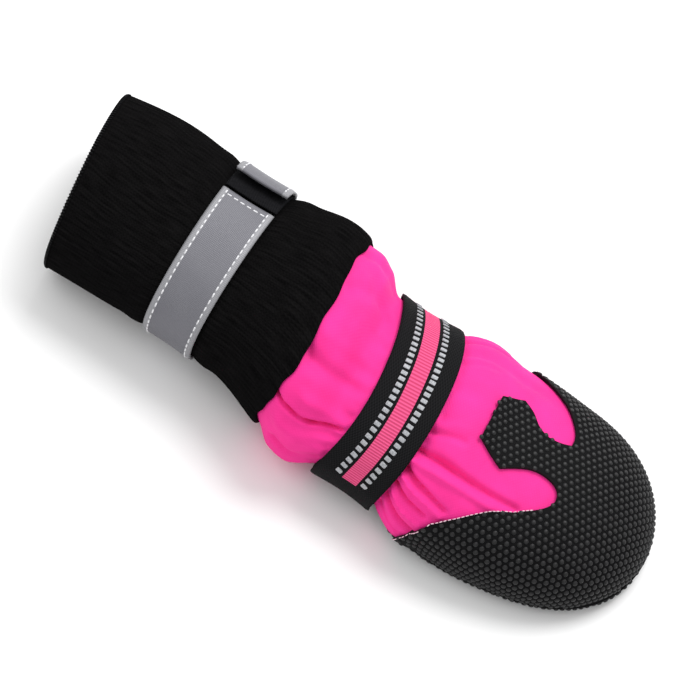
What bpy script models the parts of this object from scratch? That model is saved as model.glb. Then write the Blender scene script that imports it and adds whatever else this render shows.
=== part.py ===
# Dog shoe of the long sock kind. A softshell foot with a dotted rubberised toe cap and sole, a woven
# strap round the ankle, and a rib-knit shaft with a reflective strap. It lies as an empty one does,
# the sole flat on the floor and the slack shaft laid out behind it, a little to the far side.
# Metres, +X towards the toe, +Z up, the wearer's right side at -Y.

import math
from collections import namedtuple

import bmesh
import bpy
import numpy as np

for old in list(bpy.data.objects):
    bpy.data.objects.remove(old, do_unlink=True)

# Lengths of the zones, from the toe tip backwards
FOOT_LENGTH = 0.099
ANKLE_LENGTH = 0.0268
BLOUSE_LENGTH = 0.0228
SHAFT_LENGTH = 0.1068
ZONES = {
    "foot": FOOT_LENGTH,
    "ankle": ANKLE_LENGTH,
    "blouse": BLOUSE_LENGTH,
    "shaft": SHAFT_LENGTH,
}

# The last: widest width, height over the instep, and how the toe closes
BALL_WIDTH = 0.087
INSTEP_HEIGHT = 0.044
TOE_ROUNDING = 0.044
TOE_RISE = 0.042
SHAFT_SWAY = 0.013
SIDE_SKEW = 0.007

# Fabrics, and the gap that sewn pieces keep
UPPER_WALL = 0.0015
CAP_THICKNESS = 0.0012
SHAFT_WALL = 0.0020
SHAFT_TUCK = 0.005
SHAFT_EMERGENCE = 0.012
SEAM_BOW = 0.0042
SEAM_BOW_TURN = 122.0
CLEARANCE = 0.0003

# The sole is a shallow dish: its rim turns up to a seam that runs round the toe above the floor
SEAM_HEIGHT = 0.0052
TOE_CURL = 0.008
TOE_SPRING = 0.0010
TOE_SPRING_LENGTH = 0.016
SOLE_THICKNESS = 0.0026
SOLE_LIP = 0.0006
SOLE_TAIL = 0.011
LIP_FADE = 0.016
INSOLE_THICKNESS = 0.0018
INSOLE_INSET = 0.0075

# The woven ankle strap, its hook tape, and the reflective strap of the shaft with its patch.
# Turns are degrees round the shoe: 0 the far side, 90 the top, 180 the near side, 270 underneath.
WEBBING_WIDTH = 0.0264
WEBBING_THICKNESS = 0.0013
WEBBING_BOW = 0.0078
WEBBING_BOW_TURN = 105.0
WEBBING_START = 241.0
WEBBING_END = 572.0
HOOK_TAPE_START = 178.0
HOOK_TAPE_END = 236.0
HOOK_TAPE_THICKNESS = 0.0010
REFLECTIVE_WIDTH = 0.0225
REFLECTIVE_THICKNESS = 0.0014
REFLECTIVE_PLACE = 0.43
REFLECTIVE_START = 69.0
REFLECTIVE_END = 415.0
PATCH_START = 18.0
PATCH_END = 65.0
PATCH_THICKNESS = 0.0008
TAB_LIFT = 0.0026
TAB_TURN = 34.0
LAP_TURN = 16.0

# How finely the surfaces are divided
TOE_STEPS = 9
BALL_STEPS = 9
TAIL_STEPS = 3
ANKLE_STEPS = 3
BLOUSE_STEPS = 7
SHAFT_STEPS = 13
TUCK_STEPS = 2
OVER_SIDES = 28
CORNER_SIDES = 3
BAND_STEP = 9.0
BAND_SIDES = 4
EDGE_STEPS = 3

# Underneath, each rounded corner takes this much of a quarter turn and the flat takes the rest
CORNER_TURN = 70.0

# Sections of the last. Along is the share of the zone's length, half_width the share of half the
# ball width, top and floor the shares of the instep height, widest the share of the section's own
# height at which it is widest, flat the share of its width that is flat underneath, crown how
# full the top is, sway the share of the shaft's sway, and skew how far the far side lies behind
# the near side, as a share of the side skew.
Section = namedtuple("Section", "zone along half_width top floor widest flat crown sway skew")
SECTIONS = [
    Section("foot", 0.00, 0.92, 0.62, 0.000, 0.38, 0.80, 2.2, 0.24, 0.00),
    Section("foot", 0.35, 0.945, 0.73, 0.000, 0.37, 0.80, 2.2, 0.08, 0.00),
    Section("foot", 0.62, 0.995, 0.88, 0.000, 0.36, 0.80, 2.2, -0.06, 0.05),
    Section("foot", 0.86, 0.985, 1.00, 0.015, 0.38, 0.76, 2.1, -0.08, 0.30),
    Section("ankle", 0.00, 0.910, 0.970, 0.075, 0.42, 0.66, 2.1, -0.08, 0.50),
    Section("ankle", 0.50, 0.890, 0.940, 0.090, 0.44, 0.60, 2.1, -0.07, 0.60),
    Section("ankle", 1.00, 0.910, 0.970, 0.085, 0.45, 0.58, 2.1, -0.05, 0.55),
    Section("blouse", 0.40, 1.03, 1.12, 0.000, 0.45, 0.56, 2.2, 0.00, 0.30),
    Section("blouse", 0.68, 1.05, 1.17, 0.010, 0.45, 0.56, 2.2, 0.15, 0.12),
    Section("blouse", 1.00, 0.990, 1.15, 0.075, 0.46, 0.48, 2.1, 0.40, 0.00),
    Section("shaft", 0.14, 0.935, 1.13, 0.085, 0.47, 0.42, 2.1, 0.63, 0.00),
    Section("shaft", 0.45, 0.89, 1.09, 0.110, 0.48, 0.38, 2.0, 0.78, 0.15),
    Section("shaft", 0.75, 0.92, 1.11, 0.065, 0.48, 0.38, 2.0, 0.88, 0.40),
    Section("shaft", 1.00, 0.915, 1.15, 0.000, 0.47, 0.40, 1.85, 0.96, 0.85),
]

# Folds that the straps gather into the upper: soft troughs where depth is below 0 and ridges where
# it is above. Each runs from one place to another, along as a share of the zone's length, turn in
# degrees, with its reach and depth as shares of the instep height.
Fold = namedtuple("Fold", "zone along turn to_along to_turn reach depth")
FOLDS = [
    Fold("foot", 0.98, 118.0, 0.66, 128.0, 0.075, -0.028),
    Fold("foot", 0.99, 140.0, 0.70, 156.0, 0.080, -0.040),
    Fold("foot", 0.99, 163.0, 0.82, 176.0, 0.075, -0.038),
    Fold("foot", 0.98, 55.0, 0.60, 48.0, 0.080, -0.034),
    Fold("foot", 0.99, 22.0, 0.78, 8.0, 0.075, -0.034),
    Fold("blouse", 0.02, 150.0, 0.50, 162.0, 0.085, -0.036),
    Fold("blouse", 0.04, 104.0, 0.55, 96.0, 0.090, -0.022),
    Fold("blouse", 0.03, 66.0, 0.60, 60.0, 0.085, -0.034),
    Fold("blouse", 0.03, 20.0, 0.45, 12.0, 0.080, -0.034),
    Fold("shaft", 0.22, 150.0, 0.34, 60.0, 0.110, -0.020),
    Fold("shaft", 0.74, 40.0, 0.66, 130.0, 0.120, -0.022),
]

# The toe cap's edge seen from above, from the near side to the far one. Back is the share of the
# foot's length behind the toe tip, out the share of half the ball width. A corner is sharp, and
# between corners the edge is smooth, round the two fingers of the upper.
CapPoint = namedtuple("CapPoint", "back out corner")
CAP_EDGE = [
    CapPoint(0.845, -1.160, True),
    CapPoint(0.790, -1.035, False),
    CapPoint(0.734, -0.985, False),
    CapPoint(0.666, -0.875, False),
    CapPoint(0.583, -0.700, False),
    CapPoint(0.465, -0.487, False),
    CapPoint(0.409, -0.362, False),
    CapPoint(0.386, -0.255, False),
    CapPoint(0.394, -0.160, False),
    CapPoint(0.426, -0.112, False),
    CapPoint(0.483, -0.110, False),
    CapPoint(0.540, -0.165, False),
    CapPoint(0.624, -0.320, True),
    CapPoint(0.742, -0.224, True),
    CapPoint(0.757, 0.251, True),
    CapPoint(0.678, 0.395, True),
    CapPoint(0.627, 0.345, False),
    CapPoint(0.582, 0.262, False),
    CapPoint(0.534, 0.233, False),
    CapPoint(0.483, 0.265, False),
    CapPoint(0.442, 0.318, True),
    CapPoint(0.446, 0.430, False),
    CapPoint(0.473, 0.540, False),
    CapPoint(0.530, 0.672, False),
    CapPoint(0.611, 0.785, False),
    CapPoint(0.692, 0.875, False),
    CapPoint(0.760, 0.975, False),
    CapPoint(0.845, 1.160, True),
]


def zone_start(zone):
    names = list(ZONES)
    return sum(ZONES[name] for name in names[: names.index(zone)])


TOTAL_LENGTH = sum(ZONES.values())
BLOUSE_END = zone_start("shaft")
SOLE_END = FOOT_LENGTH + SOLE_TAIL
UPPER_END = BLOUSE_END + SHAFT_TUCK
STATIONS = np.array([zone_start(s.zone) + s.along * ZONES[s.zone] for s in SECTIONS])
COLUMNS = {name: np.array([getattr(s, name) for s in SECTIONS]) for name in Section._fields[2:]}


def smooth_step(value):
    share = min(max(value, 0.0), 1.0)
    return share * share * (3 - 2 * share)


def smooth_through(knots, values, at):
    """Cubic curve through the values that never overshoots them."""
    spans = np.diff(knots)
    rises = np.diff(values) / spans
    slopes = np.concatenate([rises[:1], np.zeros(len(rises) - 1), rises[-1:]])
    for i in range(1, len(rises)):
        if rises[i - 1] * rises[i] > 0:
            slopes[i] = 2 * rises[i - 1] * rises[i] / (rises[i - 1] + rises[i])
    i = min(max(int(np.searchsorted(knots, at)) - 1, 0), len(spans) - 1)
    t = min(max((at - knots[i]) / spans[i], 0.0), 1.0)
    rise = 3 * t**2 - 2 * t**3
    bend = slopes[i] * (t**3 - 2 * t**2 + t) + slopes[i + 1] * (t**3 - t**2)
    return values[i] * (1 - rise) + values[i + 1] * rise + spans[i] * bend


def column(name, back):
    return smooth_through(STATIONS, COLUMNS[name], back)


def toe_round(back, length, fullness=2.1):
    """Grows from 0 at the toe tip to 1 at the given length, as the end of an ellipse does."""
    share = min(max(back / length, 0.0), 1.0)
    return (1 - (1 - share) ** fullness) ** (1 / fullness)


def underside(back):
    """Height of the shoe's underside, without the curl of the toe."""
    spring = TOE_SPRING * max(0.0, 1 - back / TOE_SPRING_LENGTH) ** 2
    return INSTEP_HEIGHT * column("floor", back) + spring


def seam_height(back):
    return underside(back) + SEAM_HEIGHT


def section_size(back, drop=0.0, rise=0.0):
    """Half width, top, widest height and floor of the last at a distance from the toe tip."""
    half = BALL_WIDTH / 2 * column("half_width", back) * toe_round(back, TOE_ROUNDING)
    base = underside(back)
    seam = base + SEAM_HEIGHT
    top = seam + (INSTEP_HEIGHT * column("top", back) - seam) * toe_round(back, TOE_RISE)
    widest = max(base + (top - base) * column("widest", back), seam)
    floor = base + rise + (SEAM_HEIGHT - drop - rise) * (1 - toe_round(back, TOE_CURL))
    return half, top, widest, floor


def seam_turn(back, drop=0.0, rise=0.0):
    """How far beyond the widest line the sole's seam runs, in degrees of turn."""
    half, top, widest, floor = section_size(back, drop, rise)
    reach = (widest - seam_height(back) + drop) / (widest - floor)
    return CORNER_TURN / 90 * math.degrees(math.asin(min(max(reach, 0.0), 1.0)))


def fold_depth(back, turn):
    """How far the folds move the surface at this place, along its own outward direction."""
    degree = INSTEP_HEIGHT / 60
    depth = 0.0
    for fold in FOLDS:
        start = zone_start(fold.zone) + fold.along * ZONES[fold.zone]
        end = zone_start(fold.zone) + fold.to_along * ZONES[fold.zone]
        way = np.array([end - start, (fold.to_turn - fold.turn) * degree])
        from_start = (turn - fold.turn + 180) % 360 - 180
        place = np.array([back - start, from_start * degree])
        share = min(max(place @ way / (way @ way), 0.0), 1.0)
        away = np.linalg.norm(place - share * way) / (fold.reach * INSTEP_HEIGHT)
        depth += fold.depth * INSTEP_HEIGHT * math.exp(-(away**2)) * (1 - share / 2)
    return depth


def section_shape(back, turn):
    """How far out and up the section is at this turn, each from -1 to 1."""
    turn = turn % 360
    if turn <= 180:
        power = 2 / column("crown", back)
        side = math.cos(math.radians(turn))
        return math.copysign(abs(side) ** power, side), math.sin(math.radians(turn)) ** power
    flat = column("flat", back)
    side = -1 if turn < 270 else 1
    from_side = turn - 180 if turn < 270 else 360 - turn
    if from_side >= CORNER_TURN:
        return side * flat * (90 - from_side) / (90 - CORNER_TURN), -1.0
    corner = math.radians(from_side * 90 / CORNER_TURN)
    return side * (flat + (1 - flat) * math.cos(corner)), -math.sin(corner)


def surface_point(back, turn, grow=0.0, drop=0.0, rise=0.0, folded=True):
    """Point of the last, or of a surface outside it by the given growth and with its floor raised."""
    half, top, widest, floor = section_size(back, drop, rise)
    out, up = section_shape(back, turn)
    height = top + grow * toe_round(back, TOE_RISE) - widest if up > 0 else widest - floor
    fold = fold_depth(back, turn) / math.hypot(out, up) if folded else 0.0
    ahead = grow * max(0.0, 1 - back / TOE_ROUNDING)
    slant = SIDE_SKEW * column("skew", back) * out
    x = TOTAL_LENGTH / 2 - back + ahead - slant
    y = SHAFT_SWAY * column("sway", back) + out * (half + grow * toe_round(back, TOE_ROUNDING) + fold)
    z = widest + up * (height + fold)
    return x, y, z


def bow(turn, middle, reach):
    """Share of a bow towards the toe: full at the middle turn, and gone at its reach either way."""
    away = (turn - middle + 180) % 360 - 180
    return max(0.0, math.cos(math.radians(away * 90 / reach))) ** 1.5 if abs(away) < reach else 0.0


def over_turns(back):
    """Turns from the far seam over the top to the near seam."""
    seam = seam_turn(back)
    return list(np.linspace(-seam, 180 + seam, OVER_SIDES + 1))


def under_turns(back, drop=0.0, rise=0.0):
    """Turns from the near seam underneath to the far seam."""
    seam = seam_turn(back, drop, rise)
    near = np.linspace(180 + seam, 180 + CORNER_TURN, CORNER_SIDES + 1)
    far = np.linspace(360 - CORNER_TURN, 360 - seam, CORNER_SIDES + 1)
    return list(near) + list(far)


def foot_stations(last):
    """Places along the foot, closest together where the toe turns."""
    shares = [math.sin(math.pi / 2 * i / TOE_STEPS) for i in range(TOE_STEPS)]
    toe = [TOE_ROUNDING * (1 - share) for share in reversed(shares)]
    return toe + even_stations(TOE_ROUNDING, last, BALL_STEPS)


def even_stations(first, last, steps):
    """Places from just after the first to the last, evenly spaced."""
    return list(np.linspace(first, last, steps + 1)[1:])


def add_row(bm, back, turns, **offsets):
    return [bm.verts.new(surface_point(back, turn, **offsets)) for turn in turns]


def join_rows(bm, rows, closed=False):
    """Makes the faces between rows of vertices. A row of one vertex is a pole."""
    for first, second in zip(rows, rows[1:]):
        if len(first) == 1:
            for one, two in zip(second, second[1:]):
                bm.faces.new((first[0], one, two))
            continue
        count = min(len(first), len(second))
        for i in range(count if closed else count - 1):
            j = (i + 1) % count
            bm.faces.new((first[i], second[i], second[j], first[j]))


def rim_of(rows):
    """The vertices round the edge of a sheet that starts at a pole."""
    near = [row[0] for row in rows[1:]]
    far = [row[-1] for row in rows[1:]]
    return rows[0] + near + rows[-1][1:-1] + far[::-1]


def finish_object(name, bm, colour, roughness, metallic=0.0):
    mesh = bpy.data.meshes.new(name)
    bm.to_mesh(mesh)
    bm.free()
    mesh.shade_smooth()
    mesh.set_sharp_from_angle(angle=math.radians(40))
    made = bpy.data.objects.new(name, mesh)
    bpy.context.scene.collection.objects.link(made)
    material = bpy.data.materials.new(name)
    material.use_nodes = True
    shader = material.node_tree.nodes["Principled BSDF"]
    shader.inputs["Base Color"].default_value = (*colour, 1)
    shader.inputs["Roughness"].default_value = roughness
    shader.inputs["Metallic"].default_value = metallic
    mesh.materials.append(material)
    return made


def add_wall(thing, thickness):
    """Gives a sheet its thickness on its inner side."""
    wall = thing.modifiers.new("wall", "SOLIDIFY")
    wall.thickness = thickness
    wall.offset = -1
    wall.use_even_offset = True


def make_upper():
    """The pink softshell: closed over the foot, open below where the sole is sewn in."""
    bm = bmesh.new()
    rows = [[bm.verts.new(surface_point(0, 90))]]
    for back in foot_stations(FOOT_LENGTH) + even_stations(FOOT_LENGTH, SOLE_END, TAIL_STEPS):
        rows.append(add_row(bm, back, over_turns(back)))
    join_rows(bm, rows)
    ankle_end = FOOT_LENGTH + ANKLE_LENGTH
    rings = [rows[-1] + add_row(bm, SOLE_END, under_turns(SOLE_END)[1:-1])]
    places = even_stations(SOLE_END, ankle_end, ANKLE_STEPS)
    places += even_stations(ankle_end, BLOUSE_END, BLOUSE_STEPS)
    for back in places + even_stations(BLOUSE_END, UPPER_END, TUCK_STEPS):
        rings.append(add_row(bm, back, over_turns(back) + under_turns(back)[1:-1]))
    join_rows(bm, rings, closed=True)
    add_wall(finish_object("upper", bm, (0.96, 0.06, 0.40), 0.62), UPPER_WALL)


def sole_stations():
    return foot_stations(FOOT_LENGTH) + even_stations(FOOT_LENGTH, SOLE_END - CLEARANCE, TAIL_STEPS)


def sole_growth(back):
    """The sole's side stands a little proud of the toe cap, and fades away towards the strap."""
    full = CLEARANCE + CAP_THICKNESS + SOLE_LIP
    return full * (1 - smooth_step((back - FOOT_LENGTH + LIP_FADE) / LIP_FADE))


def make_sole():
    bm = bmesh.new()
    sheets = []
    for thickness in (0.0, SOLE_THICKNESS):
        offsets = {"drop": CLEARANCE, "rise": thickness}
        rows = [[bm.verts.new(surface_point(0, 270, grow=sole_growth(0) - thickness, **offsets))]]
        for back in sole_stations():
            grow = sole_growth(back) - thickness
            rows.append(add_row(bm, back, under_turns(back, **offsets), grow=grow, **offsets))
        join_rows(bm, rows)
        sheets.append(rows)
    join_rows(bm, [rim_of(rows) for rows in sheets], closed=True)
    bmesh.ops.recalc_face_normals(bm, faces=bm.faces)
    finish_object("sole", bm, (0.014, 0.014, 0.016), 0.55)


def make_insole():
    """A plain pad as wide as the flat of the sole."""
    bm = bmesh.new()
    rows = []
    for back in sole_stations():
        half, flat = section_size(back)[0], column("flat", back)
        place = back + INSOLE_INSET * max(0.0, 1 - back / TOE_ROUNDING)
        bottom = section_size(place)[3] + SOLE_THICKNESS + CLEARANCE
        row = []
        for side, lift in ((-1, 0), (1, 0), (1, 1), (-1, 1)):
            x = TOTAL_LENGTH / 2 - place - side * flat * SIDE_SKEW * column("skew", place)
            y = SHAFT_SWAY * column("sway", place) + side * flat * half
            row.append(bm.verts.new((x, y, bottom + lift * INSOLE_THICKNESS)))
        rows.append(row)
    join_rows(bm, rows, closed=True)
    bm.faces.new(rows[0])
    bm.faces.new(rows[-1])
    bmesh.ops.recalc_face_normals(bm, faces=bm.faces)
    finish_object("insole", bm, (0.03, 0.03, 0.03), 0.9)


def curve_through(points, steps):
    """Smooth line through the points, with a few places between each pair."""
    padded = [points[0], *points, points[-1]]
    line = []
    for i in range(1, len(padded) - 2):
        before, start, end, after = (np.array(p) for p in padded[i - 1 : i + 3])
        for t in np.arange(steps) / steps:
            bend = (2 * before - 5 * start + 4 * end - after) * t**2
            twist = (3 * start - before - 3 * end + after) * t**3
            line.append((2 * start + (end - before) * t + bend + twist) / 2)
    return line + [np.array(points[-1])]


def cap_edge():
    """The toe cap's edge seen from above, from the near side to the far side."""
    line = []
    run = []
    for point in CAP_EDGE:
        run.append((TOTAL_LENGTH / 2 - point.back * FOOT_LENGTH, point.out * BALL_WIDTH / 2))
        if point.corner and len(run) > 1:
            line += curve_through(run, EDGE_STEPS)[:-1]
            run = [run[-1]]
    return [tuple(point) for point in line + run]


def make_toe_cap():
    """A shell over the front of the upper, cut along its edge as seen from above."""
    bm = bmesh.new()
    sheets = []
    for grow in (CLEARANCE + CAP_THICKNESS, CLEARANCE):
        rows = [[bm.verts.new(surface_point(0, 90, grow=grow))]]
        for back in foot_stations(FOOT_LENGTH):
            rows.append(add_row(bm, back, over_turns(back), grow=grow))
        join_rows(bm, rows)
        sheets.append(rows)
    join_rows(bm, [rim_of(rows) for rows in sheets], closed=True)
    bmesh.ops.recalc_face_normals(bm, faces=bm.faces)
    cap = finish_object("toe_cap", bm, (0.014, 0.014, 0.016), 0.55)

    bm = bmesh.new()
    beyond = BALL_WIDTH
    front = [(TOTAL_LENGTH / 2 + beyond, beyond), (TOTAL_LENGTH / 2 + beyond, -beyond)]
    outline = [bm.verts.new((x, y, -beyond)) for x, y in cap_edge() + front]
    bottom = bm.faces.new(outline)
    raised = bmesh.ops.extrude_face_region(bm, geom=[bottom])["geom"]
    top = [part for part in raised if isinstance(part, bmesh.types.BMVert)]
    bmesh.ops.translate(bm, verts=top, vec=(0, 0, 3 * beyond))
    bmesh.ops.recalc_face_normals(bm, faces=bm.faces)
    keep = finish_object("cap_outline", bm, (1, 1, 1), 1)
    keep.hide_render = True
    keep.display_type = "WIRE"
    cut = cap.modifiers.new("outline", "BOOLEAN")
    cut.operation = "INTERSECT"
    cut.object = keep


def cuff_growth(back):
    """The cuff lies over the end of the upper, and comes down to the last behind it."""
    over = CLEARANCE + SHAFT_WALL
    return over * (1 - smooth_step((back - UPPER_END) / SHAFT_EMERGENCE))


def make_cuff():
    """The rib-knit shaft, with the end of the upper tucked inside it."""
    bm = bmesh.new()
    places = [BLOUSE_END] + even_stations(BLOUSE_END, UPPER_END, TUCK_STEPS)
    places += even_stations(UPPER_END, TOTAL_LENGTH, SHAFT_STEPS)
    sheets = []
    for thickness in (0.0, SHAFT_WALL):
        rings = []
        for back in places:
            grow = cuff_growth(back) - thickness
            forward = SEAM_BOW if back == BLOUSE_END else 0.0
            ring = []
            for turn in over_turns(back) + under_turns(back)[1:-1]:
                place = back - forward * bow(turn, SEAM_BOW_TURN, 62.0)
                ring.append(bm.verts.new(surface_point(place, turn, grow=grow, rise=-grow)))
            rings.append(ring)
        join_rows(bm, rings, closed=True)
        sheets.append(rings)
    for end in (0, -1):
        join_rows(bm, [rings[end] for rings in sheets], closed=True)
    bmesh.ops.recalc_face_normals(bm, faces=bm.faces)
    finish_object("cuff", bm, (0.012, 0.012, 0.013), 0.92)


def make_band(name, middle, width, turns, growth, thickness, colour, roughness, metallic=0.0, bend=0.0):
    """A strap round the shoe, from the first turn to the last, as far outside it as growth says. Its
    run over the top bows towards the toe by the given bend."""
    bm = bmesh.new()
    places = np.linspace(middle - width / 2, middle + width / 2, BAND_SIDES + 1)
    rows = []
    for turn in np.linspace(*turns, math.ceil((turns[1] - turns[0]) / BAND_STEP) + 1):
        inner = growth(turn)
        outer = inner + thickness
        shift = bend * bow(turn, WEBBING_BOW_TURN, 90.0)
        below = [bm.verts.new(surface_point(p - shift, turn, inner, 0, -inner, False)) for p in places]
        above = [bm.verts.new(surface_point(p - shift, turn, outer, 0, -outer, False)) for p in places]
        rows.append(below + above[::-1])
    join_rows(bm, rows, closed=True)
    for row in (rows[0], rows[-1]):
        for i in range(BAND_SIDES):
            bm.faces.new((row[i], row[i + 1], row[-2 - i], row[-1 - i]))
    bmesh.ops.recalc_face_normals(bm, faces=bm.faces)
    finish_object(name, bm, colour, roughness, metallic)


def make_ankle_strap():
    middle = FOOT_LENGTH + ANKLE_LENGTH / 2
    lap = HOOK_TAPE_THICKNESS + CLEARANCE
    lap_starts = 360 + HOOK_TAPE_START - LAP_TURN

    def strap_growth(turn):
        return CLEARANCE + lap * smooth_step((turn - lap_starts) / LAP_TURN)

    make_band("ankle_strap", middle, WEBBING_WIDTH, (WEBBING_START, WEBBING_END), strap_growth,
              WEBBING_THICKNESS, (0.30, 0.05, 0.12), 0.8, bend=WEBBING_BOW)
    make_band("ankle_strap_hook_end", middle, WEBBING_WIDTH, (HOOK_TAPE_START, HOOK_TAPE_END),
              lambda turn: CLEARANCE, HOOK_TAPE_THICKNESS, (0.01, 0.01, 0.01), 0.9)


def make_cuff_strap():
    middle = BLOUSE_END + REFLECTIVE_PLACE * SHAFT_LENGTH
    lap = PATCH_THICKNESS + CLEARANCE
    lap_starts = 360 + PATCH_START - LAP_TURN

    def strap_growth(turn):
        lift = TAB_LIFT * smooth_step((turn - REFLECTIVE_END + TAB_TURN) / TAB_TURN)
        return CLEARANCE + lap * smooth_step((turn - lap_starts) / LAP_TURN) + lift

    make_band("cuff_strap", middle, REFLECTIVE_WIDTH, (REFLECTIVE_START, REFLECTIVE_END),
              strap_growth, REFLECTIVE_THICKNESS, (0.33, 0.34, 0.36), 0.45, 0.3)
    make_band("cuff_strap_patch", middle, REFLECTIVE_WIDTH, (PATCH_START, PATCH_END),
              lambda turn: CLEARANCE, PATCH_THICKNESS, (0.01, 0.01, 0.01), 0.9)


def centre_on_floor():
    """Moves everything so that the origin is under the middle of the shoe, on the floor."""
    bpy.context.view_layer.update()
    shown = [thing for thing in bpy.data.objects if not thing.hide_render]
    depsgraph = bpy.context.evaluated_depsgraph_get()
    corners = np.array([corner for thing in shown for corner in thing.evaluated_get(depsgraph).bound_box])
    low, high = corners.min(axis=0), corners.max(axis=0)
    for thing in bpy.data.objects:
        for vertex in thing.data.vertices:
            vertex.co.x -= (low[0] + high[0]) / 2
            vertex.co.y -= (low[1] + high[1]) / 2
            vertex.co.z -= low[2]


make_upper()
make_sole()
make_insole()
make_toe_cap()
make_cuff()
make_ankle_strap()
make_cuff_strap()
centre_on_floor()
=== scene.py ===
import math

import bmesh
import bpy
import numpy as np
from mathutils import Matrix, Vector
from mathutils.bvhtree import BVHTree


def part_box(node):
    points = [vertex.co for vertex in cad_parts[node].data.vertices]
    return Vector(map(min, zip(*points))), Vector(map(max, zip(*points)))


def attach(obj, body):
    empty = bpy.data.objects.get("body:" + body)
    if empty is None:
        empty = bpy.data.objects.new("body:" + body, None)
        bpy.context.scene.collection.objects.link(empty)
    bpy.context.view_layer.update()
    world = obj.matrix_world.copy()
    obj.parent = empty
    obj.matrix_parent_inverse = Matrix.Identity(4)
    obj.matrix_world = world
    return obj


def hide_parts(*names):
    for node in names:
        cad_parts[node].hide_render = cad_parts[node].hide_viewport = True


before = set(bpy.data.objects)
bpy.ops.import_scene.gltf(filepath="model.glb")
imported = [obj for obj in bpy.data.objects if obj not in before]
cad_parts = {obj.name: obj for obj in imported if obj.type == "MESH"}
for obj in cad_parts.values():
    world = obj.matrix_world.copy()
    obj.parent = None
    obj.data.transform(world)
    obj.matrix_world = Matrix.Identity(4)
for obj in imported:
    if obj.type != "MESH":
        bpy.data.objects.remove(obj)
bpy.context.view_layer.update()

# The last. Lengths in metres; back is the distance behind the toe tip, and turn goes round the shoe
# in degrees: 0 the far side, 90 the top, 180 the near side and 270 underneath.
last = {
    "zones": {"foot": 0.099, "ankle": 0.0268, "blouse": 0.0228, "shaft": 0.1068},
    "ballWidth": 0.087,
    "instepHeight": 0.044,
    "toeRounding": 0.044,
    "toeRise": 0.042,
    "sway": 0.013,
    "sideSkew": 0.007,
    "seamHeight": 0.0052,
    "toeCurl": 0.008,
    "toeSpring": 0.0010,
    "toeSpringLength": 0.016,
    "cornerTurn": 70.0,
    "soleTail": 0.011,
    "tuck": 0.005,
    # zone, along, half width, top, floor, widest, flat, crown, sway, skew: shares, as in the solids
    "sections": [
        ("foot", 0.00, 0.92, 0.62, 0.000, 0.38, 0.80, 2.2, 0.24, 0.00),
        ("foot", 0.35, 0.945, 0.73, 0.000, 0.37, 0.80, 2.2, 0.08, 0.00),
        ("foot", 0.62, 0.995, 0.88, 0.000, 0.36, 0.80, 2.2, -0.06, 0.05),
        ("foot", 0.86, 0.985, 1.00, 0.015, 0.38, 0.76, 2.1, -0.08, 0.30),
        ("ankle", 0.00, 0.910, 0.970, 0.075, 0.42, 0.66, 2.1, -0.08, 0.50),
        ("ankle", 0.50, 0.890, 0.940, 0.090, 0.44, 0.60, 2.1, -0.07, 0.60),
        ("ankle", 1.00, 0.910, 0.970, 0.085, 0.45, 0.58, 2.1, -0.05, 0.55),
        ("blouse", 0.40, 1.03, 1.12, 0.000, 0.45, 0.56, 2.2, 0.00, 0.30),
        ("blouse", 0.68, 1.05, 1.17, 0.010, 0.45, 0.56, 2.2, 0.15, 0.12),
        ("blouse", 1.00, 0.990, 1.15, 0.075, 0.46, 0.48, 2.1, 0.40, 0.00),
        ("shaft", 0.14, 0.935, 1.13, 0.085, 0.47, 0.42, 2.1, 0.63, 0.00),
        ("shaft", 0.45, 0.89, 1.09, 0.110, 0.48, 0.38, 2.0, 0.78, 0.15),
        ("shaft", 0.75, 0.92, 1.11, 0.065, 0.48, 0.38, 2.0, 0.88, 0.40),
        ("shaft", 1.00, 0.915, 1.15, 0.000, 0.47, 0.40, 1.85, 0.96, 0.85),
    ],
}

# Folds of the cloth. zone, along, turn, then where it runs to, reach and depth in shares of the
# instep height. A depth below 0 is a trough and above it a ridge.
folds = [
    ("foot", 0.98, 118.0, 0.66, 128.0, 0.075, -0.028),
    ("foot", 0.99, 140.0, 0.70, 156.0, 0.080, -0.040),
    ("foot", 0.99, 163.0, 0.82, 176.0, 0.075, -0.038),
    ("foot", 0.98, 55.0, 0.60, 48.0, 0.080, -0.034),
    ("foot", 0.99, 22.0, 0.78, 8.0, 0.075, -0.034),
    ("blouse", 0.02, 150.0, 0.50, 162.0, 0.085, -0.036),
    ("blouse", 0.04, 104.0, 0.55, 96.0, 0.090, -0.022),
    ("blouse", 0.03, 66.0, 0.60, 60.0, 0.085, -0.034),
    ("blouse", 0.03, 20.0, 0.45, 12.0, 0.080, -0.034),
    ("shaft", 0.22, 150.0, 0.34, 60.0, 0.110, -0.020),
    ("shaft", 0.74, 40.0, 0.66, 130.0, 0.120, -0.022),
]
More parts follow.
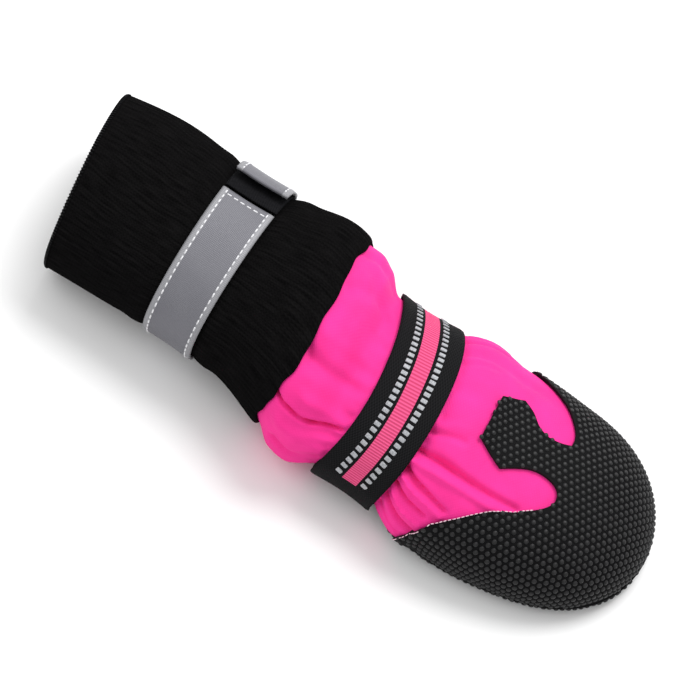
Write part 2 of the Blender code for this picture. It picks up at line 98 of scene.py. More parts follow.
fineFolds = [
    # long pleats that run from the ankle strap towards the toe, each with its ridge beside it
    ("foot", 0.95, 113.0, 0.79, 107.0, 0.034, -0.046),
    ("foot", 0.95, 107.0, 0.80, 101.0, 0.045, 0.022),
    ("foot", 0.95, 126.0, 0.50, 119.0, 0.042, -0.078),
    ("foot", 0.93, 132.5, 0.58, 126.0, 0.042, 0.046),
    ("foot", 0.95, 139.0, 0.73, 146.0, 0.032, -0.080),
    ("foot", 0.94, 145.5, 0.73, 152.0, 0.034, 0.048),
    ("foot", 0.96, 154.0, 0.79, 158.0, 0.030, -0.080),
    ("foot", 0.95, 161.0, 0.79, 166.0, 0.032, 0.046),
    ("foot", 0.97, 170.0, 0.81, 177.0, 0.032, -0.070),
    ("foot", 0.98, 184.0, 0.86, 190.0, 0.032, -0.044),
    ("foot", 0.98, 66.0, 0.82, 60.0, 0.040, -0.026),
    ("foot", 0.99, 40.0, 0.80, 34.0, 0.038, -0.040),
    ("foot", 0.99, 28.0, 0.82, 20.0, 0.036, 0.024),
    ("foot", 0.99, 12.0, 0.82, 4.0, 0.034, -0.044),
    # the blouse: a crease low on the near side, with a slack roll above and under it
    ("blouse", 1.05, 153.0, 0.30, 149.5, 0.026, -0.085),
    ("blouse", 0.30, 149.5, -0.15, 143.0, 0.027, -0.085),
    ("blouse", 0.60, 164.0, 0.10, 160.0, 0.080, 0.040),
    ("blouse", 0.45, 138.0, 0.05, 134.0, 0.075, 0.036),
    # soft dents from the seam down to the strap
    ("blouse", 0.72, 119.0, 0.00, 115.0, 0.090, -0.075),
    ("blouse", 0.70, 104.0, 0.05, 97.0, 0.062, 0.022),
    ("blouse", 0.80, 78.0, 0.20, 62.0, 0.075, -0.040),
    ("blouse", 0.90, 48.0, 0.15, 40.0, 0.070, -0.030),
    ("blouse", 0.75, 22.0, 0.10, 16.0, 0.070, -0.034),
    ("blouse", 0.60, 182.0, 0.20, 186.0, 0.060, -0.050),
]

zoneNames = list(last["zones"])
zoneStart = {name: sum(last["zones"][n] for n in zoneNames[:i]) for i, name in enumerate(zoneNames)}
totalLength = sum(last["zones"].values())
ankleStart = zoneStart["ankle"]
blouseStart = zoneStart["blouse"]
shaftStart = zoneStart["shaft"]
soleEnd = ankleStart + last["soleTail"]
sectionPlaces = np.array([zoneStart[row[0]] + row[1] * last["zones"][row[0]] for row in last["sections"]])
columnNames = ("halfWidth", "top", "floor", "widest", "flat", "crown", "sway", "skew")
columns = {name: np.array([row[2 + i] for row in last["sections"]]) for i, name in enumerate(columnNames)}

upperEnd = shaftStart + last["tuck"]
# Length of one turn round the shoe, for the cloth's own coordinates
bandGirth = 0.2
toeTipX = 0.0
middleY = 0.0


def smoothStep(value):
    share = np.clip(value, 0.0, 1.0)
    return share * share * (3 - 2 * share)


def column(name, back):
    knots, values = sectionPlaces, columns[name]
    spans = np.diff(knots)
    rises = np.diff(values) / spans
    inner = np.zeros(len(rises) - 1)
    both = rises[:-1] * rises[1:] > 0
    inner[both] = 2 * (rises[:-1] * rises[1:])[both] / (rises[:-1] + rises[1:])[both]
    slopes = np.concatenate([rises[:1], inner, rises[-1:]])
    i = np.clip(np.searchsorted(knots, back) - 1, 0, len(spans) - 1)
    t = np.clip((back - knots[i]) / spans[i], 0, 1)
    rise = 3 * t**2 - 2 * t**3
    bend = slopes[i] * (t**3 - 2 * t**2 + t) + slopes[i + 1] * (t**3 - t**2)
    return values[i] * (1 - rise) + values[i + 1] * rise + spans[i] * bend


def toeRound(back, length):
    share = np.clip(back / length, 0.0, 1.0)
    return (1 - (1 - share) ** 2.1) ** (1 / 2.1)


def foldDepth(back, turn, rows):
    degree = last["instepHeight"] / 60
    depth = np.zeros_like(back + turn)
    for zone, along, atTurn, toAlong, toTurn, reach, deep in rows:
        start = zoneStart[zone] + along * last["zones"][zone]
        wayBack = (toAlong - along) * last["zones"][zone]
        wayRound = (toTurn - atTurn) * degree
        placeBack = back - start
        placeRound = ((turn - atTurn + 180) % 360 - 180) * degree
        share = (placeBack * wayBack + placeRound * wayRound) / (wayBack**2 + wayRound**2)
        share = np.clip(share, 0, 1)
        away = np.hypot(placeBack - share * wayBack, placeRound - share * wayRound)
        away = away / (reach * last["instepHeight"])
        depth = depth + deep * last["instepHeight"] * np.exp(-(away**2)) * (1 - share / 2)
    return depth


def sectionSize(back, drop=0.0, rise=0.0):
    half = last["ballWidth"] / 2 * column("halfWidth", back) * toeRound(back, last["toeRounding"])
    spring = last["toeSpring"] * np.maximum(0, 1 - back / last["toeSpringLength"]) ** 2
    base = last["instepHeight"] * column("floor", back) + spring
    seam = base + last["seamHeight"]
    top = seam + (last["instepHeight"] * column("top", back) - seam) * toeRound(back, last["toeRise"])
    widest = np.maximum(base + (top - base) * column("widest", back), seam)
    floor = base + rise + (last["seamHeight"] - drop - rise) * (1 - toeRound(back, last["toeCurl"]))
    return half, top, widest, floor, seam - drop


def seamTurn(back, drop=0.0, rise=0.0):
    half, top, widest, floor, seam = sectionSize(back, drop, rise)
    reach = np.clip((widest - seam) / np.maximum(widest - floor, 0.000001), 0, 1)
    return last["cornerTurn"] / 90 * np.degrees(np.arcsin(reach))


def lastPoints(back, turn, grow=0.0, drop=0.0, rise=0.0, extra=0.0, foldRows=None):
    back, turn, grow, extra = np.broadcast_arrays(*np.atleast_1d(back, turn, grow, extra))
    half, top, widest, floor, seam = sectionSize(back, drop, rise)
    flat, power = column("flat", back), 2 / column("crown", back)
    round360 = turn % 360
    upper = round360 <= 180
    angle = np.radians(np.where(upper, round360, 0))
    cornerTurn = last["cornerTurn"]
    fromSide = np.where(round360 < 270, round360 - 180, 360 - round360)
    corner = np.radians(np.clip(fromSide, 0, cornerTurn) * 90 / cornerTurn)
    onFlat = fromSide >= cornerTurn
    side = np.where(round360 < 270, -1.0, 1.0)
    below = np.where(onFlat, flat * (90 - fromSide) / (90 - cornerTurn), flat + (1 - flat) * np.cos(corner))
    out = np.where(upper, np.sign(np.cos(angle)) * np.abs(np.cos(angle)) ** power, side * below)
    up = np.where(upper, np.sin(angle) ** power, np.where(onFlat, -1.0, -np.sin(corner)))
    height = np.where(up > 0, top + grow * toeRound(back, last["toeRise"]) - widest, widest - floor)
    fold = foldDepth(back, turn, folds if foldRows is None else foldRows) + extra
    fold = fold / np.maximum(np.hypot(out, up), 0.2)
    ahead = grow * np.maximum(0, 1 - back / last["toeRounding"])
    slant = last["sideSkew"] * column("skew", back) * out
    x = toeTipX - back + ahead - slant
    width = half + (grow + fold) * toeRound(back, last["toeRounding"])
    y = middleY + last["sway"] * column("sway", back) + out * width
    z = widest + up * (height + fold)
    return np.stack([x, y, z], axis=-1)


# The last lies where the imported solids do
whole = lastPoints(np.linspace(0.0, upperEnd, 200)[:, None], np.arange(0.0, 181.0, 4.0)[None, :])
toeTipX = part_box("upper")[1][0] - whole[..., 0].max()
middleY = (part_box("upper")[0][1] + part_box("upper")[1][1] - whole[..., 1].min() - whole[..., 1].max()) / 2


# Share of a bow towards the toe: full at the middle turn, and gone at its reach either way
def bow(turn, middle, reach):
    away = (turn - middle + 180) % 360 - 180
    return np.maximum(np.cos(np.radians(np.clip(away * 90 / reach, -90, 90))), 0) ** 1.5


gatherFacts = {
    "nearTurn": 170.0,
    "pleatDepth": 0.00042,
    "pleatReach": 0.010,
    "puff": 0.0014,
    "puffReach": 0.024,
    "pinch": 0.0006,
    "pinchReach": 0.003,
}


# Cloth gathered by the ankle strap: it puffs up before it and is pinched on both sides, with small
# pleats that run into it, deepest on the near side
def gathers(back, turn):
    shift = webbingFacts["bow"] * bow(turn, webbingFacts["bowTurn"], 90.0)
    ahead = np.maximum(ankleStart - shift - back, 0)
    behind = np.maximum(back - blouseStart + shift, 0)
    away = ahead + behind
    angle = np.radians(turn)
    near = 0.45 + 0.55 * np.cos(angle - math.radians(gatherFacts["nearTurn"]))
    wave = np.sin(13 * angle + 0.6) + 0.8 * np.sin(23 * angle + 2.0 + 55 * away)
    wave = wave + 0.5 * np.sin(37 * angle + 0.9 - 40 * away)
    pleats = gatherFacts["pleatDepth"] * near * wave * np.exp(-((away / gatherFacts["pleatReach"]) ** 2))
    pleats = pleats * smoothStep(away / 0.0015)
    puff = gatherFacts["puff"] * np.sin(np.pi * np.clip(ahead / gatherFacts["puffReach"], 0, 1))
    puff = puff * smoothStep(ahead / 0.003)
    pinch = -gatherFacts["pinch"] * np.exp(-((away / gatherFacts["pinchReach"]) ** 2))
    return pleats + puff + pinch


def addObject(name, data):
    made = bpy.data.objects.new(name, data)
    bpy.context.scene.collection.objects.link(made)
    return made


def meshFrom(name, bm, material):
    mesh = bpy.data.meshes.new(name)
    bm.to_mesh(mesh)
    bm.free()
    mesh.materials.append(material)
    return mesh


def dressPiece(piece, replaced=()):
    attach(piece, "root")
    if replaced:
        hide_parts(*replaced)


def newPiece(name, bm, material, replaced=()):
    mesh = meshFrom(name, bm, material)
    mesh.shade_smooth()
    mesh.set_sharp_from_angle(angle=math.radians(50))
    piece = addObject(name, mesh)
    dressPiece(piece, replaced)
    return piece


# A flat grid of cloth laid on the last. backs are the places along it, turnRange gives the first and
# last turn of each line across it with the number of steps, and place puts each point
def clothGrid(bm, backs, turnRange, place):
    uvLayer = bm.loops.layers.uv.verify()
    firstTurn, lastTurn, steps = turnRange
    made = bmesh.ops.create_grid(bm, x_segments=len(backs) - 1, y_segments=steps, size=0.5)["verts"]
    flat = np.array([v.co[:2] for v in made]) + 0.5
    back = np.interp(flat[:, 0] * (len(backs) - 1), np.arange(len(backs)), backs)
    first = firstTurn(back) if callable(firstTurn) else np.full_like(back, firstTurn)
    final = lastTurn(back) if callable(lastTurn) else np.full_like(back, lastTurn)
    turn = first + (final - first) * flat[:, 1]
    points = place(back, turn)
    points[:, 2] = np.maximum(points[:, 2], 0.0)  # nothing dips under the floor
    order = {}
    for i, vert in enumerate(made):
        vert.co = points[i]
        order[vert] = i
    for face in {face for vert in made for face in vert.link_faces}:
        for loop in face.loops:
            i = order[loop.vert]
            loop[uvLayer].uv = (back[i], turn[i] / 360 * bandGirth)


# From seam to seam over the top, and from seam to seam underneath
def overTop(steps):
    return (lambda back: -seamTurn(back), lambda back: 180 + seamTurn(back), steps)


def underneath(steps, drop=0.0):
    return (lambda back: 180 + seamTurn(back, drop), lambda back: 360 - seamTurn(back, drop), steps)


# Merges what meets at the tip and along the seams, and drops faces left without area
def closeSeams(bm):
    bmesh.ops.remove_doubles(bm, verts=bm.verts, dist=0.00001)
    bmesh.ops.dissolve_degenerate(bm, edges=bm.edges, dist=0.000001)


# The laid face is the outer one, and the wall grows inwards
def addWall(piece, thickness):
    wall = piece.modifiers.new("wall", "SOLIDIFY")
    wall.thickness = thickness
    wall.offset = -1
    wall.use_even_offset = False


def applyModifiers(piece):
    depsgraph = bpy.context.evaluated_depsgraph_get()
    made = bpy.data.meshes.new_from_object(piece.evaluated_get(depsgraph))
    piece.modifiers.clear()
    piece.data = made


# One mesh that holds the shape once for each matrix
def repeatShape(name, shape, matrices, material):
    verts = np.array([v.co[:] + (1,) for v in shape.verts])
    faces = [[v.index for v in face.verts] for face in shape.faces]
    shape.free()
    placed = np.einsum("nij,vj->nvi", np.array(matrices), verts)[:, :, :3].reshape(-1, 3)
    count = len(verts)
    allFaces = [[i + n * count for i in face] for n in range(len(matrices)) for face in faces]
    mesh = bpy.data.meshes.new(name)
    mesh.from_pydata(placed.tolist(), [], allFaces)
    mesh.shade_smooth()
    mesh.materials.append(material)
    dressPiece(addObject(name, mesh))


# Stands a shape on a point: its z along the normal and its x as near as it goes to along
def facing(point, normal, along=(1, 0, 0), scale=(1, 1, 1)):
    z = Vector(normal).normalized()
    y = z.cross(Vector(along)).normalized()
    x = y.cross(z)
    axes = Matrix((x * scale[0], y * scale[1], z * scale[2])).transposed().to_4x4()
    axes.translation = Vector(point)
    return axes


# Shader sums are written as Python ones: a Signal is a socket that adds, multiplies and compares
class Signal:
    def __init__(self, tree, socket):
        self.tree = tree
        self.socket = socket

    def sum(self, operation, *values, clamp=False):
        node = self.tree.nodes.new("ShaderNodeMath")
        node.operation = operation
        node.use_clamp = clamp
        for socket, value in zip(node.inputs, values):
            if isinstance(value, Signal):
                self.tree.links.new(value.socket, socket)
            else:
                socket.default_value = value
        return Signal(self.tree, node.outputs[0])

    def __add__(self, other):
        return self.sum("ADD", self, other)

    def __radd__(self, other):
        return self.sum("ADD", other, self)

    def __sub__(self, other):
        return self.sum("SUBTRACT", self, other)

    def __rsub__(self, other):
        return self.sum("SUBTRACT", other, self)

    def __mul__(self, other):
        return self.sum("MULTIPLY", self, other)

    def __rmul__(self, other):
        return self.sum("MULTIPLY", other, self)

    def __truediv__(self, other):
        return self.sum("DIVIDE", self, other)

    def __pow__(self, other):
        return self.sum("POWER", self, other)

    def __gt__(self, other):
        return self.sum("GREATER_THAN", self, other)

    def __lt__(self, other):
        return self.sum("LESS_THAN", self, other)

    def __abs__(self):
        return self.sum("ABSOLUTE", self)

    def fract(self):
        return self.sum("FRACT", self)

    def sin(self):
        return self.sum("SINE", self)

    def clamped(self):
        return self.sum("ADD", self, 0.0, clamp=True)

    def between(self, low, high):
        return ((self - low) / (high - low)).clamped()


class Looks:
    def __init__(self, name, **finish):
        self.material = bpy.data.materials.new(name)
        self.material.use_nodes = True
        self.tree = self.material.node_tree
        self.shader = self.tree.nodes["Principled BSDF"]
        for label, value in finish.items():
            self.shader.inputs[label.replace("_", " ")].default_value = value

    def node(self, kind, sockets, output=0, **settings):
        node = self.tree.nodes.new(kind)
        for name, value in settings.items():
            setattr(node, name, value)
        for name, value in sockets.items():
            self.feed(node.inputs[name], value)
        return Signal(self.tree, node.outputs[output])

    def feed(self, socket, value):
        if isinstance(value, Signal):
            self.tree.links.new(value.socket, socket)
        else:
            socket.default_value = value

    def put(self, label, value):
        self.feed(self.shader.inputs[label], value)

    # Where a point lies on the cloth, in metres along and across it
    def onCloth(self):
        place = self.node("ShaderNodeTexCoord", {}, output="UV")
        along = self.node("ShaderNodeSeparateXYZ", {"Vector": place}, output="X")
        across = self.node("ShaderNodeSeparateXYZ", {"Vector": place}, output="Y")
        return along, across

    def noise(self, scale, detail=3.0, rough=0.55):
        place = self.node("ShaderNodeTexCoord", {}, output="Object")
        return self.node("ShaderNodeTexNoise", {"Vector": place, "Scale": scale, "Detail": detail,
                                                "Roughness": rough})

    def blendColour(self, share, first, second):
        sockets = {0: share, 6: first, 7: second}
        return self.node("ShaderNodeMix", sockets, output=2, data_type="RGBA")

    def paint(self, share, first, second):
        self.put("Base Color", self.blendColour(share, first, second))

    def relief(self, height, depth):
        bump = self.node("ShaderNodeBump", {"Height": height, "Distance": depth, "Strength": 1.0})
        self.put("Normal", bump)


def colour(red, green, blue):
    return (red, green, blue, 1.0)


def softshellLooks():
    looks = Looks("pinkSoftshell", Roughness=0.78, IOR=1.28)
    along, across = looks.onCloth()
    twill = ((along + across) * 5200.0).sin() * 0.5 + 0.5
    cross = ((along - across) * 5200.0).sin() * 0.5 + 0.5
    weave = (twill * cross) ** 0.6
    mottle = looks.noise(60.0, 4.0).between(0.3, 0.7)
    base = looks.blendColour(mottle, colour(0.80, 0.022, 0.240), colour(0.92, 0.034, 0.300))
    looks.paint(weave * 0.18, base, colour(0.97, 0.07, 0.36))
    looks.put("Roughness", 0.70 + mottle * 0.14)
    looks.relief(weave * 0.22 + looks.noise(260.0, 3.0) * 0.9, 0.00016)
    return looks.material


def rubberClothLooks():
    looks = Looks("dottedClothGround", Roughness=0.75, IOR=1.12)
    along, across = looks.onCloth()
    threads = (along * 9000.0).sin() * (across * 9000.0).sin() * 0.5 + 0.5
    dusty = looks.noise(55.0, 4.0).between(0.4, 0.75)
    base = looks.blendColour(threads, colour(0.004, 0.004, 0.0045), colour(0.008, 0.008, 0.0085))
    looks.paint(dusty * 0.3, base, colour(0.014, 0.0135, 0.014))
    looks.put("Roughness", 0.55 + dusty * 0.2)
    looks.relief(threads * 0.4 + looks.noise(700.0, 3.0) * 0.6, 0.00012)
    return looks.material


def coreLooks():
    looks = Looks("capCutEdge", Roughness=0.9, IOR=1.2)
    fibres = looks.noise(1900.0, 4.0)
    looks.paint(fibres, colour(0.005, 0.0045, 0.005), colour(0.020, 0.016, 0.018))
    looks.put("Roughness", 0.84 + fibres * 0.1)
    looks.relief(fibres, 0.0002)
    return looks.material


def dotLooks():
    looks = Looks("rubberDots", Roughness=0.42, IOR=1.38)
    worn = looks.noise(240.0, 4.0).between(0.35, 0.7)
    looks.paint(worn, colour(0.007, 0.007, 0.0075), colour(0.014, 0.014, 0.015))
    looks.put("Roughness", 0.36 + worn * 0.18)
    looks.relief(looks.noise(1800.0, 2.0), 0.00005)
    return looks.material


def knitLooks():
    looks = Looks("ribKnit", Roughness=0.95, IOR=1.05)
    along, across = looks.onCloth()
    # each rib is a row of small vees, blurred by wool that runs along the shaft
    rib = (across * 760.0).fract() - 0.5
    vee = ((along * 700.0) + abs(rib) * 1.2).fract()
    loop = (1.0 - abs(vee - 0.5) * 2.0) ** 0.7
    strand = looks.node("ShaderNodeCombineXYZ", {"X": along * 130.0, "Y": across * 1500.0})
    streak = looks.node("ShaderNodeTexNoise", {"Vector": strand, "Scale": 1.0, "Detail": 4.0})
    wool = (streak.between(0.35, 0.7) * 0.7 + loop * 0.3).clamped()
    looks.paint(wool, colour(0.0018, 0.0017, 0.0018), colour(0.0072, 0.0068, 0.0070))
    looks.put("Roughness", 0.88 + loop * 0.08)
    looks.relief(streak * 0.8 + loop * 0.45, 0.00022)
    return looks.material


def threadLooks(name, dark, light, roughness=0.8):
    looks = Looks(name, Roughness=roughness, IOR=1.2)
    strands = looks.noise(2600.0, 2.0)
    looks.paint(strands.between(0.35, 0.65), dark, light)
    looks.put("Roughness", roughness - strands * 0.1)
    looks.relief(strands, 0.00008)
    return looks.material


def webbingLooks(width, printEnd):
    looks = Looks("reflectiveWebbing", Roughness=0.8, IOR=1.15)
    along, across = looks.onCloth()
    share = along / width
    middle = abs(share - 0.5)
    pinkBand = (middle < 0.118) * (across < printEnd / 360 * bandGirth)
    ribs = (across * 5600.0).sin() * 0.5 + 0.5
    picks = (across * 3600.0).sin() * (share * 150.0).sin() * 0.5 + 0.5
    black = looks.blendColour(picks, colour(0.003, 0.003, 0.0035), colour(0.012, 0.012, 0.013))
    pink = looks.blendColour(ribs, colour(0.52, 0.045, 0.13), colour(0.78, 0.105, 0.26))
    looks.paint(pinkBand, black, pink)
    looks.put("Roughness", 0.66 + picks * 0.14)
    looks.relief(pinkBand * ribs * 0.7 + (1.0 - pinkBand) * picks, 0.00022)
    return looks.material


def reflectiveLooks(width):
    looks = Looks("reflectiveTape", Roughness=0.55, Metallic=0.15)
    along, across = looks.onCloth()
    grain = ((along + across) * 5200.0).sin() * ((along - across) * 5200.0).sin() * 0.5 + 0.5
    patchy = looks.noise(34.0, 3.0).between(0.3, 0.7)
    base = looks.blendColour(patchy, colour(0.105, 0.104, 0.122), colour(0.140, 0.139, 0.158))
    hem = abs(along / width - 0.5) > 0.385
    edged = looks.blendColour(hem, base, colour(0.22, 0.22, 0.235))
    looks.paint(grain * (0.12 + hem * 0.4), edged, colour(0.34, 0.34, 0.36))
    looks.put("Roughness", 0.42 + patchy * 0.14)
    looks.relief(grain + looks.noise(1400.0) * 0.6, 0.00008)
    return looks.material


def hookLooks():
    looks = Looks("hookPile", Roughness=0.92, IOR=1.06)
    along, across = looks.onCloth()
    rows = (along * 7800.0).sin() * (across * 6200.0).sin() * 0.5 + 0.5
    fuzz = looks.noise(2400.0, 2.0)
    base = looks.blendColour(rows, colour(0.004, 0.004, 0.005), colour(0.020, 0.020, 0.022))
    looks.paint(fuzz.between(0.6, 0.8) * 0.4, base, colour(0.05, 0.05, 0.055))
    looks.put("Roughness", 0.88 + rows * 0.08)
    looks.relief(rows + fuzz * 0.4, 0.0004)
    return looks.material


def insoleLooks():
    looks = Looks("insoleFelt", Roughness=0.95)
    fuzz = looks.noise(1100.0, 4.0)
    looks.paint(fuzz, colour(0.018, 0.018, 0.019), colour(0.045, 0.044, 0.046))
    looks.put("Roughness", 0.9 + fuzz * 0.06)
    looks.relief(fuzz, 0.0003)
    return looks.material


pinkSoftshell = softshellLooks()
dottedGround = rubberClothLooks()
capCore = coreLooks()
rubberDots = dotLooks()
ribKnit = knitLooks()
hookPile = hookLooks()
blackThread = threadLooks("blackThread", colour(0.003, 0.003, 0.0035), colour(0.010, 0.010, 0.011))
whiteThread = threadLooks("whiteThread", colour(0.62, 0.62, 0.64), colour(0.86, 0.86, 0.88))
dashThread = threadLooks("dashThread", colour(0.27, 0.28, 0.30), colour(0.48, 0.49, 0.51), 0.55)
paleThread = threadLooks("paleThread", colour(0.62, 0.34, 0.44), colour(0.88, 0.70, 0.76))
print("looks ready")

# The straps come first, because the cloth and the knit gather under them
webbingFacts = {
    "width": 0.0264,
    "thickness": 0.0013,
    "start": 241.0,
    "end": 572.0,
    "hookStart": 178.0,
    "hookEnd": 236.0,
    "hookThickness": 0.0010,
    "lapTurn": 16.0,
    "gap": 0.0003,
    "dashPitch": 0.0029,
    "bow": 0.0078,
    "bowTurn": 105.0,
    # across the strap, as shares of its width
    "dashRows": (0.2875, 0.7125),
    "dashSize": (0.0025, 0.0017),
    "dashHeight": 0.0006,
    # the stripe and the dashes stop here, and the rest of the end is plain
    "printEnd": 536.0,
}
tapeFacts = {
    "width": 0.0225,
    "thickness": 0.0014,
    "place": 0.43,
    "start": 69.0,
    "end": 415.0,
    "patchStart": 18.0,
    "patchEnd": 65.0,
    "patchThickness": 0.0008,
    "tabLift": 0.0026,
    "tabTurn": 34.0,
    "lapTurn": 16.0,
    "gap": 0.0003,
    "stitchSize": (0.0019, 0.00060),
    "stitchPitch": 0.0029,
    "stitchInset": 0.0023,
}
webbingMiddle = ankleStart + last["zones"]["ankle"] / 2
tapeMiddle = shaftStart + tapeFacts["place"] * last["zones"]["shaft"]

upperFacts = {
    "wall": 0.0013,
    "backSteps": 190,
    "tipSteps": 34,
    "turnSteps": 212,
    "tailSteps": (38, 60),
}


# Places behind the toe, close together at its tip and even from there on
def placesTo(end, steps, tipSteps=None):
    tipEnd = last["toeRounding"]
    count = tipSteps or steps // 3
    tip = [tipEnd * (1 - math.cos(math.radians(90 * i / count))) for i in range(count + 1)]
    rest = np.linspace(tipEnd, end, steps - len(tip) + 2)[1:]
    return np.array(tip + list(rest))


def makeUpper():
    bm = bmesh.new()
    rows = folds + fineFolds

    def place(back, turn):
        return lastPoints(back, turn, extra=gathers(back, turn), foldRows=rows)

    backs = placesTo(upperEnd, upperFacts["backSteps"], upperFacts["tipSteps"])
    clothGrid(bm, backs, overTop(upperFacts["turnSteps"]), place)
    # behind the sole the cloth closes underneath too
    tailBacks = np.linspace(soleEnd, upperEnd, upperFacts["tailSteps"][0])
    clothGrid(bm, tailBacks, underneath(upperFacts["tailSteps"][1]), place)
    closeSeams(bm)
    cloth = newPiece("upperCloth", bm, pinkSoftshell, ["upper"])
    addWall(cloth, upperFacts["wall"])


makeUpper()
print("upper laid on the last")

capFacts = {
    "gap": 0.0003,
    "thickness": 0.0012,
    "steps": (110, 150),
    "pitch": 0.00292,
    "dotRadius": 0.00100,
    "dotHeight": 0.00056,
    "dotMargin": 0.0006,
    "centreBehindTip": 0.048,
    "centreHeight": 0.010,
    "latticeReach": 0.085,
    # the thread on the near wing: one turn's size, its pitch, and where it starts
    "whipSize": (0.0012, 0.00036),
    "whipPitch": 0.0014,
    "whipBehindTip": 0.043,
    "whipAside": 0.016,
    # share of the foot's length behind the tip, share of half the ball's width, and sharp corners
    "edge": [
        (1.150, -0.860, True), (0.800, -0.860, True), (0.752, -1.016, True), (0.729, -0.967, False),
        (0.666, -0.870, False), (0.583, -0.700, False), (0.465, -0.487, False), (0.409, -0.362, False),
        (0.386, -0.255, False), (0.394, -0.160, False), (0.426, -0.112, False), (0.483, -0.110, False),
        (0.540, -0.165, False), (0.624, -0.320, True), (0.742, -0.224, True), (0.757, 0.251, True),
        (0.678, 0.395, True), (0.627, 0.345, False), (0.582, 0.262, False), (0.534, 0.233, False),
        (0.483, 0.265, False), (0.442, 0.318, True), (0.446, 0.430, False), (0.473, 0.545, False),
        (0.530, 0.690, False), (0.611, 0.810, False), (0.692, 0.912, False), (0.730, 1.000, True),
        (0.900, 1.300, True),
    ],
    # the wings' ends seen from the side: share of the foot's length behind the tip, and height
    "wingEnds": [(0.700, 0.0450), (0.729, 0.0281), (0.752, 0.0239), (0.787, 0.0177), (0.810, 0.0140),
                 (0.828, 0.0089), (0.850, 0.0000), (1.150, 0.0000), (1.150, 0.0450)],
    "wingSide": 0.028,
    "patternHeel": 1.15,
}


# A smooth line through the given points
def curveThrough(points, steps):
    padded = [points[0], *points, points[-1]]
    line = []
    for i in range(1, len(padded) - 2):
        before, start, end, after = (np.array(p) for p in padded[i - 1:i + 3])
        for t in np.arange(steps) / steps:
            bend = (2 * before - 5 * start + 4 * end - after) * t**2
            twist = (3 * start - before - 3 * end + after) * t**3
            line.append((2 * start + (end - before) * t + bend + twist) / 2)
    return line + [np.array(points[-1])]


# The toe cap's edge as seen from above, from the near side to the far side
def capEdge(steps):
    line, run = [], []
    for back, out, sharp in capFacts["edge"]:
        run.append((toeTipX - back * last["zones"]["foot"], middleY + out * last["ballWidth"] / 2))
        if sharp and len(run) > 1:
            line += curveThrough(run, steps)[:-1]
            run = [run[-1]]
    return [tuple(point) for point in line + run]


# A prism to cut with: corners in one plane, pushed one way. What it cuts shows the cloth's own core
def makeKnife(name, corners, way):
    bm = bmesh.new()
    bottom = bm.faces.new([bm.verts.new(corner) for corner in corners])
    raised = bmesh.ops.extrude_face_region(bm, geom=[bottom])["geom"]
    top = [part for part in raised if isinstance(part, bmesh.types.BMVert)]
    bmesh.ops.translate(bm, verts=top, vec=way)
    bmesh.ops.recalc_face_normals(bm, faces=bm.faces)
    return addObject(name, meshFrom(name, bm, capCore))


def cutWith(piece, knife, operation):
    cut = piece.modifiers.new("cut", "BOOLEAN")
    cut.operation = operation
    cut.solver = "EXACT"
    cut.material_mode = "TRANSFER"
    cut.object = knife
    applyModifiers(piece)
    bpy.data.objects.remove(knife)


def makeCap():
    grow = capFacts["gap"] + capFacts["thickness"]

    def place(back, turn):
        return lastPoints(back, turn, grow=grow, extra=gathers(back, turn), foldRows=folds + fineFolds)

    bm = bmesh.new()
    backs = placesTo(last["zones"]["foot"], capFacts["steps"][0])
    clothGrid(bm, backs, overTop(capFacts["steps"][1]), place)
    closeSeams(bm)
    cap = newPiece("capShell", bm, dottedGround, ["toe_cap"])
    uncut = millimetreTree(cap)
    addWall(cap, capFacts["thickness"])

    # the pattern's corners go on round the toe, clear of the shoe
    heelX, aheadX = toeTipX - capFacts["patternHeel"] * last["zones"]["foot"], toeTipX + 0.05
    farY, nearY = middleY + 0.07, middleY - 0.07
    front = [(aheadX, farY), (aheadX, nearY), (heelX, nearY)]
    knife = makeKnife("capPattern", [(x, y, -0.01) for x, y in capEdge(6) + front], (0, 0, 0.09))
    for side in (-1, 1):
        corners = [(toeTipX - share * last["zones"]["foot"], middleY + side * capFacts["wingSide"], height)
                   for share, height in capFacts["wingEnds"]]
        wedge = makeKnife("wingEnd", corners, (0, side * 0.08, 0))
        cutWith(knife, wedge, "DIFFERENCE")
    cutWith(cap, knife, "INTERSECT")
    return cap, uncut


# What rays are cast at. It is in millimetres, where the small faces stay well above rounding
def millimetreTree(piece):
    shown = piece.evaluated_get(bpy.context.evaluated_depsgraph_get())
    mesh = shown.to_mesh()
    verts = [v.co * 1000 for v in mesh.vertices]
    faces = [tuple(p.vertices) for p in mesh.polygons]
    shown.to_mesh_clear()
    return BVHTree.FromPolygons(verts, faces)


